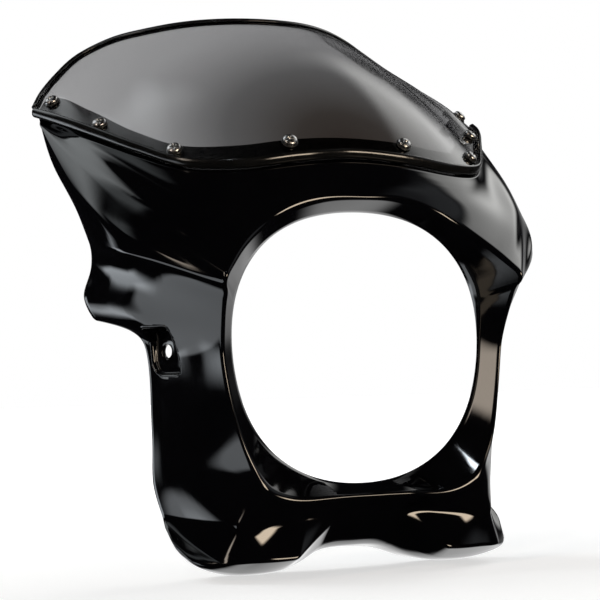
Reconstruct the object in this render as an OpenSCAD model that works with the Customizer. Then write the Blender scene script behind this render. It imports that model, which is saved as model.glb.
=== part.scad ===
// Half fairing for a motorcycle with a single round headlight: one moulded shell
// round the lamp hole, a smoked windscreen screwed on top, and rubber edge trims.
// Millimetres. The front faces -Y, +Z is up, X is across and the part is symmetric
// about X = 0. The origin is the centre of the headlight hole, in the plane of its
// inner rim.

/* [Shell] */
// Diameter of the headlight hole, for a 7 inch lamp with its ring
hole_d = 200; // [190:1:210]
// Width across the widest point of the wings
fairing_w = 382; // [360:1:410]
// Height of the windscreen's top edge above the centre of the hole
top_h = 270; // [250:1:295]
// Depth of the chin below the centre of the hole
chin_drop = 161; // [150:1:175]
// Length from the foremost crease to the rearmost edge
fairing_len = 266; // [240:1:290]
// Wall thickness of the moulding
wall_t = 3.5; // [2.5:0.1:4.5]

/* [Windscreen] */
// Thickness of the acrylic sheet
screen_t = 3; // [2:0.1:4]
// Gap between the sheet and the shell's flange behind it
screen_gap = 2.5; // [2:0.1:3.5]
// How far the middle of the sheet stands out of its straight slope
screen_bulge = 14; // [6:1:20]

/* [Edge trims] */
// How far the top edge's trim reaches over the sheet
trim_lap = 4; // [3:0.1:5]
// How far the base bead reaches over the sheet, below the washers
bead_lap = 1.8; // [1.2:0.1:1.9]
// Height of the base bead beyond the sheet's lower edge
bead_foot = 4; // [3:0.1:5]
// How far the base bead stands in front of the sheet
bead_front = 4.5; // [3:0.1:6]
// Wall of the thin trim on the top edge
trim_wall = 1.5; // [1:0.1:2.5]

/* [Fasteners] */
// Diameter of the screws' threads
screw_d = 5; // [4:0.1:6]
// Diameter of the screws' pan heads
head_d = 10.5; // [9:0.1:10.9]
// Diameter of the nylon washers
washer_d = 12; // [11:0.1:12.4]
// Thickness of the nylon washers
washer_t = 1; // [0.6:0.1:1.6]
// Diameter of the rubber nuts' bodies
nut_d = 9; // [8:0.1:9.4]
// Length of the rubber nuts behind the shell's flange
nut_len = 9; // [6:0.5:12]

/* [Bracket pockets] */
// Diameter of the bracket bolt's hole
bolt_hole_d = 10; // [8:0.1:12]
// Depth of each pocket below the flank
pocket_depth = 5; // [3:0.5:7]
// Length of each pocket along the flank
pocket_w = 27; // [24:1:29]
// Height of each pocket
pocket_h = 33; // [28:1:38]

/* [Hidden] */
// Clearance left between pieces that sit together
fit_gap = 0.3;

// The lamp hole is round but slightly squared and a little fuller at the sides.
// This is its radius at an angle from the top, for a radius of one.
function hole_r(a) = 1 - 0.0214 * cos(4 * a) + 0.007 * cos(a) - 0.011 * cos(3 * a);
function rim(a, r) = [r * hole_r(a) * sin(a), 0, r * hole_r(a) * cos(a)];

// The shell's skin is a net of stations that run outwards from the hole's rim, drawn
// here on the right half from the top centre round to the bottom centre. Each station
// has its angle, then the dish crease, two points on the panel, the shell's edge (or a
// third panel point) and two points behind or below it. The next list says how sharp
// the fold along the ring is at those six points, and the last how sharp the fold
// along the station is at the rim and the six points. The last number is how many
// steps lead to the next station.
flat = [0, 0, 0, 0, 0, 0, 0];
brow = [1, 0, 0, 1, 1, 0];
side = [1, 0, 0, 0, 0, 0];
keel = [1, 0, 1, 1, 0, 0];
STATIONS = [
  // the brow over the lamp; the flange points follow the windscreen and are worked out
  [0, [0, -22, 105.5], [0, -17, 114], [0, -10, 125], [0, -4, 133.5], 0, 0, brow, flat, 3],
  [15, [28, -20, 104.7], [32, -17, 113], [37, -11, 123], [42, -6, 130.5], 0, 0, brow, flat, 3],
  [27, [50, -17, 99.7], [60, -14, 108], [71, -7, 118], [82, 2, 126], 0, 0, brow, flat, 2],
  [36, [67, -16, 93], [84, -8, 104], [102, 8, 117], [118, 27, 128.5], 0, 0, brow, flat, 2],
  [45, [83, -20, 82.5], [103, -4, 98], [124, 27, 118], [142, 63, 142.5], 0, 0, brow, flat, 2],
  [54, [98, -28, 69.5], [119, -5, 89], [141, 38, 116], [163, 100, 158], 0, 0, brow, flat, 2],
  // the bevelled strip between the brow and the wing
  [60.5, [106.5, -34.5, 60], [128, -11, 80], [150, 30, 109], [172.5, 124, 167], 0, 0,
   brow, [0, 0, 0.5, 0.5, 0.5, 0.3, 0], 1],
  [63.5, [111, -38, 55], [131, -10, 76], [155, 32, 107], [180.5, 143, 173.5], 0, 0, brow, flat, 2],
  [66, [115, -41, 50], [136, -8, 73], [161, 37, 104], [191, 159, 179.5], 0, 0,
   brow, [0, 0.5, 1, 1, 1, 1, 1], 2],
  // the wing, down to its overhanging lower edge
  [67.5, [115.6, -40, 47], [138, -7, 67], [168, 40, 94], [184, 96, 125], [187.5, 115, 135],
   [189, 130, 144], side, flat, 2],
  [69, [115.6, -39, 45], [135, -14, 59], [161, 20, 78], [175, 51, 92], [179, 80, 101],
   [180.5, 100, 110], side, flat, 2],
  [70.5, [115.5, -38, 43], [133, -18, 53], [154, 10, 64], [169.5, 36, 72], [174.5, 61, 77],
   [174, 87, 81], side, [0, 0, 1, 1, 1, 1, 1], 1],
  // the hollow under the wing and the tab below it
  [71.5, [113.5, -35.5, 41.5], [130.5, -16, 50], [150, 10.5, 59.5], [164.5, 37, 67],
   [170, 62, 71.5], [172.5, 88, 75.5], side, flat, 2],
  [74, [112.5, -29, 32], [128, -9, 38], [144, 15, 45], [158, 43, 52], [166, 65, 56],
   [173, 90, 60], side, flat, 2],
  [79, [111.8, -23.5, 21], [127, 0, 27], [144, 27, 33], [160, 54, 38], [169, 72, 41],
   [179, 91, 43], side, flat, 2],
  [83, [111, -19.5, 12], [124, 3, 15], [138, 26, 18], [151, 46, 20.5], [160, 66, 23],
   [171, 90, 25], side, [0, 0, 0, 0, 0, 0.5, 0.8], 2],
  // the flank beside the lamp
  [89, [110.5, -15.5, 0], [118, 4, 0], [126, 22, 0], [133, 40, 0], [137, 52, 6],
   [144, 62, 12.5], side, flat, 2],
  [98, [109, -15, -15], [116, 4, -15], [123, 21, -15], [130, 38, -14], [135, 50, -13],
   [139.5, 60, -12], side, flat, 2],
  [112, [104, -17, -44], [113, 2, -44], [121.5, 21, -44], [129.5, 38, -44], [134.5, 50, -44],
   [139, 60, -44], side, flat, 2],
  [124, [98, -20, -68], [108.5, -1, -69], [119, 18, -70], [128, 36, -70], [134, 49, -70.5],
   [138.5, 60, -71], side, flat, 2],
  [134, [90, -21, -86], [102, -4, -89], [113.5, 14, -91], [125, 33, -93], [132, 48, -94.5],
   [138.2, 62.5, -95.5], side, flat, 2],
  // the chin: its two folds at the side, the lobe, the slope and the notch
  [140, [83, -22, -96.5], [92, -16, -110], [101, -8, -123], [112, 17, -121.5],
   [122, 40, -120.5], [132.5, 58, -119.5], [1, 0, 1, 0, 0, 0], [0, 0, 0.3, 1, 1, 1, 1], 1],
  [143, [79, -21, -99.5], [87, -16, -112], [97, -11, -124.5], [112, 2, -147.5],
   [123, 30, -136], [133, 55, -123], keel, [0, 0, 0, 0.3, 1, 0.6, 0.3], 1],
  [146, [74, -20.5, -102.5], [81, -15, -113], [90, -12.5, -124], [108, -4, -149],
   [126.5, 12, -150], [135, 31, -137.5], keel, flat, 2],
  [151, [62, -20, -106], [69, -15, -114], [77, -12, -123], [90, -13, -148],
   [99, 10, -158.5], [107, 48, -158], keel, flat, 2],
  [156, [50, -20.5, -107], [56, -14, -114.5], [62, -10, -121.5], [72, -17, -148],
   [78, 6, -159], [82, 48, -161], keel, flat, 2],
  [160, [40, -21, -106.5], [45, -14, -114], [49, -8, -120], [59, -18, -147.5],
   [60, 6, -157.5], [60, 48, -160], keel, [0, 0, 0, 1, 1, 0, 0], 2],
  [165, [28, -22, -106], [31, -14, -113], [34, -7, -119], [41, -9, -135],
   [43, 8, -151], [44, 46, -156], keel, flat, 2],
  [170, [18, -22, -105.7], [21, -14, -113], [24, -6, -120], [26, -4, -124.5],
   [28, 12, -143.5], [28, 45, -150], keel, [0, 0, 0, 0, 1, 0, 0], 3],
  [180, [0, -22, -105.5], [0, -14, -114], [0, -5.5, -121.5], [0, -4, -124.5],
   [0, 14, -142], [0, 45, -147.5], keel, flat, 0],
];
// Steps from each ring to the next, from the rim outwards.
RING_STEPS = [2, 2, 4, 3, 1, 3];

// The windscreen has one line per brow station: its base, its top edge, how much of
// its height the shell's flange backs, and its share of the bulge.
SCREEN = [
  [[0, 2, 141], [0, 158, 270], 0.095, 1],
  [[42, -1, 137.5], [33, 164, 270], 0.10, 1],
  [[82, 6.5, 132.8], [62, 181, 269.5], 0.105, 0.85],
  [[118, 31, 135.7], [88, 200, 266.5], 0.11, 0.65],
  [[141, 66, 150], [112, 219, 261.5], 0.14, 0.43],
  [[162.5, 104, 166.5], [137, 225, 249], 0.25, 0.35],
  [[173.5, 124, 175], [163, 209, 227], 0.47, 0.35],
  [[183, 144, 182.5], [178, 196, 211], 0.8, 0.2],
  [[191, 166, 189.5], [190, 177, 195.5], 0.7, 0.05],
];
SCREEN_STEPS = [3, 3, 3, 3];
// Where each screw sits, as steps along and up the windscreen.
SCREWS = [[3.3, 2], [8.3, 1.45], [11.7, 1.1], [14.8, 1.7]];

// The drawn sizes above belong to these values; other sizes stretch the drawing away
// from the hole's rim, so the hole and the outline change independently.
stretch_x = (fairing_w / 2 - hole_d / 2) / 91;
stretch_up = (top_h - hole_d / 2) / 170;
stretch_down = (chin_drop - hole_d / 2) / 61;
stretch_y = fairing_len / 266;
function fitted(p, a) = let(r0 = rim(a, 100), r1 = rim(a, hole_d / 2), d = p - r0)
  [r1[0] + d[0] * stretch_x, p[1] * stretch_y,
   r1[2] + d[2] * (p[2] > 0 ? stretch_up : stretch_down)];

function mix(a, b, t) = a + (b - a) * t;
function unit(v) = v / max(norm(v), 0.000001);
function mirrored(p) = [-p[0], p[1], p[2]];
function total(v, n) = n <= 0 ? 0 : v[n - 1] + total(v, n - 1);

// Direction of a curve at b between a and c: smooth, or straight on one side where the
// fold is sharp.
function heading(a, b, c, fold, ahead) =
  let(l1 = norm(b - a), l2 = norm(c - b), u1 = unit(b - a), u2 = unit(c - b),
      s = (u1 * l2 + u2 * l1) / (l1 + l2))
  mix(s, ahead ? u2 : u1, fold);

// A smooth curve through the points P with folds F and the given steps between them.
function curve(P, F, steps, before, after) =
  let(n = len(P) - 1,
      Q = concat([is_undef(before) ? 2 * P[0] - P[1] : before], P,
                 [is_undef(after) ? 2 * P[n] - P[n - 1] : after]))
  [P[0], for (i = [0 : n - 1])
    let(a = Q[i], b = Q[i + 1], c = Q[i + 2], d = Q[i + 3], l = norm(c - b),
        m0 = heading(a, b, c, F[i], true) * l, m1 = heading(b, c, d, F[i + 1], false) * l)
    for (k = [1 : steps[i]])
      let(t = k / steps[i], t2 = t * t, t3 = t2 * t)
      b * (2 * t3 - 3 * t2 + 1) + m0 * (t3 - 2 * t2 + t) + c * (3 * t2 - 2 * t3) + m1 * (t3 - t2)];
function spread(F, steps) =
  [F[0], for (i = [0 : len(F) - 2]) for (k = [1 : steps[i]]) mix(F[i], F[i + 1], k / steps[i])];
function column(M, j) = [for (r = M) r[j]];

// A net of points drawn out across its stations.
function drawn(A, K, steps, last) =
  let(n = len(A) - 1,
      C = [for (j = [0 : len(A[0]) - 1])
        curve(column(A, j), column(K, j), steps, mirrored(A[1][j]), last ? mirrored(A[n - 1][j]) : undef)])
  [for (i = [0 : len(C[0]) - 1]) column(C, i)];

brow_n = len(SCREEN);
station_steps = [for (i = [0 : len(STATIONS) - 2]) STATIONS[i][9]];
screen_cols = total(station_steps, brow_n - 1);
flange_steps = SCREEN_STEPS[0];
flange_depth = screen_t + screen_gap;

// Windscreen: outer face.
screen_base = [for (i = [0 : brow_n - 1]) fitted(SCREEN[i][0], STATIONS[i][0])];
screen_top = [for (i = [0 : brow_n - 1]) fitted(SCREEN[i][1], STATIONS[i][0])];
function screen_lift(i) =
  let(b = screen_base, a = i == 0 ? mirrored(b[1]) : b[i - 1],
      c = i == brow_n - 1 ? 2 * b[i] - b[i - 1] : b[i + 1])
  unit(cross(c - a, screen_top[i] - b[i]));
screen_net = [for (i = [0 : brow_n - 1])
  let(f = SCREEN[i][2], h = (1 - f) / 3)
  [for (s = [0, f, f + h, f + 2 * h, 1])
    mix(screen_base[i], screen_top[i], s)
    + screen_lift(i) * 4 * s * (1 - s) * screen_bulge * SCREEN[i][3]]];
screen_rows = [for (r = screen_net) curve(r, [0, 0, 0, 0, 0], SCREEN_STEPS)];
screen_half = drawn(screen_rows, [for (r = screen_rows) [for (p = r) 0]],
                    [for (i = [0 : brow_n - 2]) station_steps[i]], false);

// Direction out of a net at one of its points, from the four cells round it. The
// second value is how far it must be followed to leave the cells by one unit.
function cell(a, b) = unit(cross(a, b));
function lift(G, i, j, ring) =
  let(n = len(G), m = len(G[0]), p = G[i][j],
      l = ring ? G[(i + n - 1) % n][j] : i > 0 ? G[i - 1][j] : undef,
      r = ring ? G[(i + 1) % n][j] : i < n - 1 ? G[i + 1][j] : undef,
      up = j < m - 1 ? G[i][j + 1] - p : p - G[i][j - 1],
      dn = j > 0 ? p - G[i][j - 1] : G[i][j + 1] - p,
      ahead = is_undef(r) ? p - l : r - p, back = is_undef(l) ? r - p : p - l,
      c = [cell(ahead, up), cell(ahead, dn), cell(back, up), cell(back, dn)],
      v = unit(c[0] + c[1] + c[2] + c[3]))
  [v, 1 / max(0.6, min([for (k = c) k * v]))];
function both_sides(G) = let(n = len(G) - 1)
  [for (i = [-n : n]) i < 0 ? [for (p = G[-i]) mirrored(p)] : G[i]];
screen_face = both_sides(screen_half);
screen_cols_all = len(screen_face) - 1;
screen_out = [for (i = [0 : screen_cols_all])
  [for (j = [0 : len(screen_face[0]) - 1]) lift(screen_face, i, j, false)[0]]];
function screen_at(i, j) = screen_face[screen_cols + i][j];
function screen_dir(i, j) = screen_out[screen_cols + i][j];
function screen_shifted(i, j, d) = screen_at(i, j) - screen_dir(i, j) * d;

// Shell: the station points at this size, with the flange kept behind the windscreen.
shell_net = [for (k = [0 : len(STATIONS) - 1])
  let(s = STATIONS[k], a = s[0], i = total(station_steps, k))
  [rim(a, hole_d / 2), for (m = [1 : 4]) fitted(s[m], a),
   k < brow_n ? screen_shifted(i, 0, flange_depth) : fitted(s[5], a),
   k < brow_n ? screen_shifted(i, flange_steps, flange_depth) : fitted(s[6], a)]];
shell_rows = [for (k = [0 : len(STATIONS) - 1]) curve(shell_net[k], concat([0], STATIONS[k][7]), RING_STEPS)];
shell_folds = [for (s = STATIONS) spread(s[8], RING_STEPS)];
shell_plain = drawn(shell_rows, shell_folds, station_steps, true);
edge_row = total(RING_STEPS, 4);
root_row = total(RING_STEPS, 5);
shell_half = [for (i = [0 : len(shell_plain) - 1])
  [for (j = [0 : len(shell_plain[0]) - 1])
    i > screen_cols || j <= edge_row ? shell_plain[i][j]
    : j >= root_row ? screen_shifted(i, j - root_row, flange_depth)
    : mix(shell_plain[i][edge_row], screen_shifted(i, 0, flange_depth),
          (j - edge_row) / (root_row - edge_row))]];
shell_face = let(n = len(shell_half) - 1)
  [for (i = [0 : 2 * n - 1]) i <= n ? shell_half[i] : [for (p = shell_half[2 * n - i]) mirrored(p)]];
shell_offset = [for (i = [0 : len(shell_face) - 1])
  [for (j = [0 : len(shell_face[0]) - 1])
    let(l = lift(shell_face, i, j, true)) shell_face[i][j] - l[0] * l[1] * wall_t]];
// Where the folds meet at the crease's corner the wall is thicker: its back runs
// straight from the station before the corner to the station after it.
corner_a = total(station_steps, 7);
corner_b = total(station_steps, 14);
crease_row = RING_STEPS[0];
function corner_at(i) = let(n = len(shell_half) - 1, k = i <= n ? i : 2 * n - i)
  k > corner_a && k < corner_b ? [i <= n ? corner_a : 2 * n - corner_a,
                                  i <= n ? corner_b : 2 * n - corner_b,
                                  (k - corner_a) / (corner_b - corner_a)] : undef;
// The cut edge is as thick as the wall just inside it.
last_row = len(shell_face[0]) - 1;
shell_back = [for (i = [0 : len(shell_face) - 1])
  let(c = corner_at(i))
  [for (j = [0 : last_row])
    j == last_row ? shell_face[i][j] + shell_offset[i][j - 1] - shell_face[i][j - 1]
    : is_undef(c) || abs(j - crease_row) > 1 ? shell_offset[i][j]
    : mix(shell_offset[c[0]][j], shell_offset[c[1]][j], c[2])]];

// Two triangles for four corners, named against the clock as seen from outside. They are
// split along the other diagonal when turned, so that the left half mirrors the right.
function two(a, b, c, d, turn) = turn ? [[a, d, b], [b, d, c]] : [[a, c, b], [a, d, c]];

// A sheet between two nets of points: closed round its edges, and joined end to end
// when it is a ring.
module sheet(front, back, ring) {
  n = len(front);
  m = len(front[0]);
  cells = ring ? n : n - 1;
  points = concat([for (r = front) for (p = r) p], [for (r = back) for (p = r) p]);
  function f(i, j) = (i % n) * m + j;
  function b(i, j) = n * m + (i % n) * m + j;
  function turned(i) = ring ? i >= n / 2 : i < (n - 1) / 2;
  faces = [for (i = [0 : cells - 1]) let(k = i + 1, e = m - 1, t = turned(i)) each [
    for (j = [0 : m - 2]) each concat(
      two(f(i, j), f(k, j), f(k, j + 1), f(i, j + 1), t),
      two(b(i, j), b(i, j + 1), b(k, j + 1), b(k, j), t)),
    each two(f(i, 0), b(i, 0), b(k, 0), f(k, 0), t),
    each two(f(i, e), f(k, e), b(k, e), b(i, e), t)]];
  ends = ring ? [] : [for (j = [0 : m - 2]) each concat(
    two(f(0, j), f(0, j + 1), b(0, j + 1), b(0, j), false),
    two(f(n - 1, j), b(n - 1, j), b(n - 1, j + 1), f(n - 1, j + 1), false))];
  polyhedron(points, concat(faces, ends));
}

// A profile carried along a line of frames [origin, out of the edge, out of the face].
module carried(frames, profile) {
  n = len(frames);
  m = len(profile);
  points = [for (f = frames) for (q = profile) f[0] + f[1] * q[0] + f[2] * q[1]];
  sides = [for (i = [0 : n - 2]) for (j = [0 : m - 1]) let(k = (j + 1) % m)
    each two(i * m + j, i * m + k, (i + 1) * m + k, (i + 1) * m + j, i < (n - 1) / 2)];
  caps = [[for (j = [0 : m - 1]) j], [for (j = [m - 1 : -1 : 0]) (n - 1) * m + j]];
  polyhedron(points, concat(sides, caps));
}

// Points and directions between the steps of a net.
function between(G, u, v) =
  let(i = min(floor(u), len(G) - 2), j = min(floor(v), len(G[0]) - 2), s = u - i, t = v - j)
  mix(mix(G[i][j], G[i + 1][j], s), mix(G[i][j + 1], G[i + 1][j + 1], s), t);
function frame_at(G, u, v) =
  let(p = between(G, u, v), e = 0.3,
      a = unit(between(G, u + e, v) - between(G, u - e, v)),
      w = unit(cross(a, between(G, u, v + e) - between(G, u, v - e))))
  [p, a, cross(w, a), w];
module placed(f) {
  multmatrix([[f[1][0], f[2][0], f[3][0], f[0][0]],
              [f[1][1], f[2][1], f[3][1], f[0][1]],
              [f[1][2], f[2][2], f[3][2], f[0][2]],
              [0, 0, 0, 1]]) children();
}
module at_screws() {
  for (s = SCREWS, hand = [-1, 1])
    placed(frame_at(screen_face, screen_cols + hand * s[0], s[1])) children();
}

// Bracket pocket: its frame lies on the right flank, X towards the rear edge, and its
// axis is level and square to the flank a little lower down.
pocket_u = total(station_steps, 16) + 0.1;
pocket_v = total(RING_STEPS, 4) + 0.2;
pocket_p = between(shell_half, pocket_u, pocket_v);
pocket_out = let(w = frame_at(shell_half, pocket_u + 4, pocket_v)[3]) unit([w[0], w[1], 0]);
pocket_frame = [pocket_p, cross([0, 0, 1], pocket_out), [0, 0, 1], pocket_out];
pocket_corner = 4;
hole_shift = 3;
function arc(x, y, r, a0) = [for (k = [0 : 4]) [x + r * cos(a0 + k * 22.5), y + r * sin(a0 + k * 22.5)]];
// A rectangle with round corners, the lower rear one much rounder than the rest.
function pocket_shape(grow) =
  let(w = pocket_w / 2, h = pocket_h / 2, r = pocket_corner + grow, big = 2.5 * pocket_corner + grow)
  concat(arc(w + grow - r, h + grow - r, r, 0), arc(-w - grow + r, h + grow - r, r, 90),
         arc(-w - grow + r, -h - grow + r, r, 180), arc(w + grow - big, -h - grow + big, big, 270));
// A line down one row of the net, just inside the panel: [up, out] in the pocket's frame.
function cup_line(row) = [for (i = [-4 : 4])
  let(q = shell_half[total(station_steps, 16) + i][row] - pocket_p) [q[2], q * pocket_out - 0.3 * wall_t]];

// The front or rear half of the cup behind the pocket: its walls run up into the panel.
module cup_half(row, side) {
  line = cup_line(row);
  bottom = -pocket_depth - wall_t;
  intersection() {
    translate([0, 0, bottom]) linear_extrude(pocket_h) polygon(pocket_shape(2.5));
    rotate([90, 0, 90]) translate([0, 0, side]) linear_extrude(pocket_w)
      polygon(concat(line, [[line[8][0], bottom - 1], [line[0][0], bottom - 1]]));
  }
}

module at_pockets() {
  placed(pocket_frame) children();
  mirror([1, 0, 0]) placed(pocket_frame) children();
}

module fairing_shell() {
  color([0.02, 0.02, 0.025])
  difference() {
    union() {
      sheet(shell_face, shell_back, true);
      at_pockets() {
        cup_half(total(RING_STEPS, 3) + 1, 1 - pocket_w);
        cup_half(total(RING_STEPS, 5) + 1, -1);
      }
    }
    at_pockets() {
      translate([0, 0, -pocket_depth]) linear_extrude(pocket_h) polygon(pocket_shape(0));
      translate([hole_shift, 0, -pocket_depth - wall_t - 4])
        cylinder(h = wall_t + 6, d = bolt_hole_d, $fn = 48);
    }
    at_screws()
      translate([0, 0, -flange_depth - wall_t - 4])
        cylinder(h = wall_t + 6, d = nut_d + 2 * fit_gap, $fn = 32);
  }
}

module windscreen() {
  inner = [for (i = [0 : screen_cols_all]) [for (j = [0 : len(screen_face[0]) - 1])
    screen_face[i][j] - screen_out[i][j] * screen_t]];
  color([0.25, 0.22, 0.2, 0.5])
  difference() {
    sheet(screen_face, inner, false);
    at_screws()
      translate([0, 0, -screen_t - 3]) cylinder(h = screen_t + 6, d = screw_d + 2 * fit_gap, $fn = 32);
  }
}

// Frames along the screen's top or base edge, pointing out of the sheet's edge.
function edge_frames(j, step) =
  [for (i = [0 : screen_cols_all])
    let(p = screen_face[i][j], w = screen_out[i][j],
        a = i == 0 ? screen_face[1][j] - p : i == screen_cols_all ? p - screen_face[i - 1][j]
          : screen_face[i + 1][j] - screen_face[i - 1][j],
        e = unit(cross(w, unit(a))))
    [p, e * step, w]];

module screen_edge_trim() {
  g = fit_gap;
  t = trim_wall;
  color([0.03, 0.03, 0.03])
  carried(edge_frames(len(screen_face[0]) - 1, 1),
    [[-trim_lap, g], [g, g], [g, -screen_t - g], [-trim_lap, -screen_t - g],
     [-trim_lap, -screen_t - g - t], [g + 0.3 * t, -screen_t - g - t], [g + t, -screen_t - g - 0.3 * t],
     [g + t, g + 0.3 * t], [g + 0.3 * t, g + t], [-trim_lap, g + t]]);
}

module screen_base_trim() {
  g = fit_gap;
  b = bead_front;
  inner = screen_gap - 3 * g;
  color([0.03, 0.03, 0.03])
  carried(edge_frames(0, -1),
    [[-bead_lap, -screen_t - g - inner], [-bead_lap, -screen_t - g], [g, -screen_t - g], [g, g],
     [-bead_lap, g], [-bead_lap, 0.45 * b], [-0.7 * bead_lap, 0.82 * b], [-0.1 * bead_lap, b],
     [0.4 * bead_foot, 0.85 * b], [0.8 * bead_foot, 0.4 * b], [bead_foot, -0.2 * b],
     [0.7 * bead_foot, -0.9 * screen_t], [0, -screen_t - g - inner]]);
}

// The stack of each fastener, measured out of the windscreen's front face.
seat = fit_gap;
head_h = 0.36 * head_d;
shank_l = seat + washer_t + flange_depth + wall_t + 0.7 * nut_len;

module screen_screws() {
  color([0.55, 0.55, 0.57])
  at_screws()
    translate([0, 0, seat + washer_t])
      difference() {
        union() {
          intersection() {
            cylinder(h = head_h, d = head_d, $fn = 48);
            translate([0, 0, head_h - 0.85 * head_d]) sphere(r = 0.85 * head_d, $fn = 64);
          }
          translate([0, 0, -shank_l]) cylinder(h = shank_l + 0.5, d = screw_d, $fn = 32);
        }
        for (a = [0, 90]) rotate([0, 0, a])
          translate([-0.25 * head_d, -0.07 * head_d, 0.4 * head_h])
            cube([0.5 * head_d, 0.14 * head_d, head_h]);
      }
}

module screen_washers() {
  color([0.05, 0.05, 0.05])
  at_screws()
    translate([0, 0, seat])
      difference() {
        cylinder(h = washer_t, d = washer_d, $fn = 48);
        translate([0, 0, -1]) cylinder(h = washer_t + 2, d = screw_d + 2 * fit_gap, $fn = 32);
      }
}

module screen_nuts() {
  lip = screen_gap - 2 * fit_gap;
  color([0.04, 0.04, 0.04])
  at_screws()
    translate([0, 0, -screen_t - fit_gap - lip])
      difference() {
        union() {
          cylinder(h = lip, d = nut_d + 3, $fn = 48);
          translate([0, 0, -fit_gap - wall_t - nut_len])
            cylinder(h = fit_gap + wall_t + nut_len + 0.5, d = nut_d, $fn = 32);
        }
        translate([0, 0, -fit_gap - wall_t - nut_len - 1])
          cylinder(h = fit_gap + wall_t + nut_len + lip + 2, d = screw_d + fit_gap, $fn = 32);
      }
}

fairing_shell();
windscreen();
screen_edge_trim();
screen_base_trim();
screen_screws();
screen_washers();
screen_nuts();
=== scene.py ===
"""Half fairing for a round headlight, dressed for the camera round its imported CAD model.

The shell grows from a net of stations round the lamp hole: curves through the net give
its main points, and a cubic B-spline over these gives the smooth skin. A fold value says
how sharp a crease is. Sizes are millimetres until a mesh is made, and then metres.
"""
import math

import bpy
import numpy as np
from mathutils import Matrix, Vector
from mathutils.bvhtree import BVHTree


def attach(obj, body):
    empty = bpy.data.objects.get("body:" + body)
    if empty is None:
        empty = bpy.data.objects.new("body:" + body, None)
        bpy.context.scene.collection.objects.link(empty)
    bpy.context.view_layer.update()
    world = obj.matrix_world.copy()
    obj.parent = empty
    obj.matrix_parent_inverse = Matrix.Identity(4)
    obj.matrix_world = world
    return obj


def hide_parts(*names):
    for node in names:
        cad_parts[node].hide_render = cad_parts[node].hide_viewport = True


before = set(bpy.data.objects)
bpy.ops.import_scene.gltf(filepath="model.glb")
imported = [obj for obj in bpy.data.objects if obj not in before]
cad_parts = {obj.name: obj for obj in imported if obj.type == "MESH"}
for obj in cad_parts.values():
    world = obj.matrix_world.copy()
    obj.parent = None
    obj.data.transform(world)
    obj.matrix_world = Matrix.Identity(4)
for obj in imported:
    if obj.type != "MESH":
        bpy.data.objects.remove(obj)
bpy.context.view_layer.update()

# Camera
# The photograph's camera: eye level with the lamp, 23 degrees to the fairing's right
# hand side, from 1.2 m away. Its place is given in the camera's own axes.
azimuth, elevation, roll = np.radians([23.3, -2.6, -1.7])
away = np.array([42.3, -33.7, 1234.7])
ahead = np.array([math.sin(azimuth) * math.cos(elevation),
                  math.cos(azimuth) * math.cos(elevation), -math.sin(elevation)])
level = np.array([math.cos(azimuth), -math.sin(azimuth), 0])
above = np.cross(level, ahead)
right = math.cos(roll) * level + math.sin(roll) * above
up = math.cos(roll) * above - math.sin(roll) * level
eye = -(away[0] * right + away[1] * up + away[2] * ahead) / 1000

scene = bpy.context.scene
camera = bpy.data.objects.new("camera", bpy.data.cameras.new("camera"))
scene.collection.objects.link(camera)
turned_axes = [[right[k], up[k], -ahead[k], eye[k]] for k in range(3)]
camera.matrix_world = Matrix(turned_axes + [[0, 0, 0, 1]])
camera.data.lens = 102.3
camera.data.sensor_width = 36
camera.data.clip_start = 0.05
camera.data.clip_end = 60
scene.camera = camera
scene.view_settings.view_transform = "Standard"

# Shell
# One gloss black moulding, 3.5 mm thick, made in one piece with the flange that backs the
# windscreen. Its skin is a net of stations from the top centre round the right half to
# the bottom centre, and the left half is its mirror image.
HOLE_R = 100
WALL = 3.5
EDGE_HEIGHT = 0.8
SHEET = 3.0
SHEET_GAP = 2.5
SHEET_BULGE = 14
FLAT = [0] * 7
BROW = [0, 1, 0, 0, 1, 1, 0]
SIDE = [0, 1, 0, 0, 0, 0, 0]
KEEL = [0, 1, 0, 1, 1, 0, 0]
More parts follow.
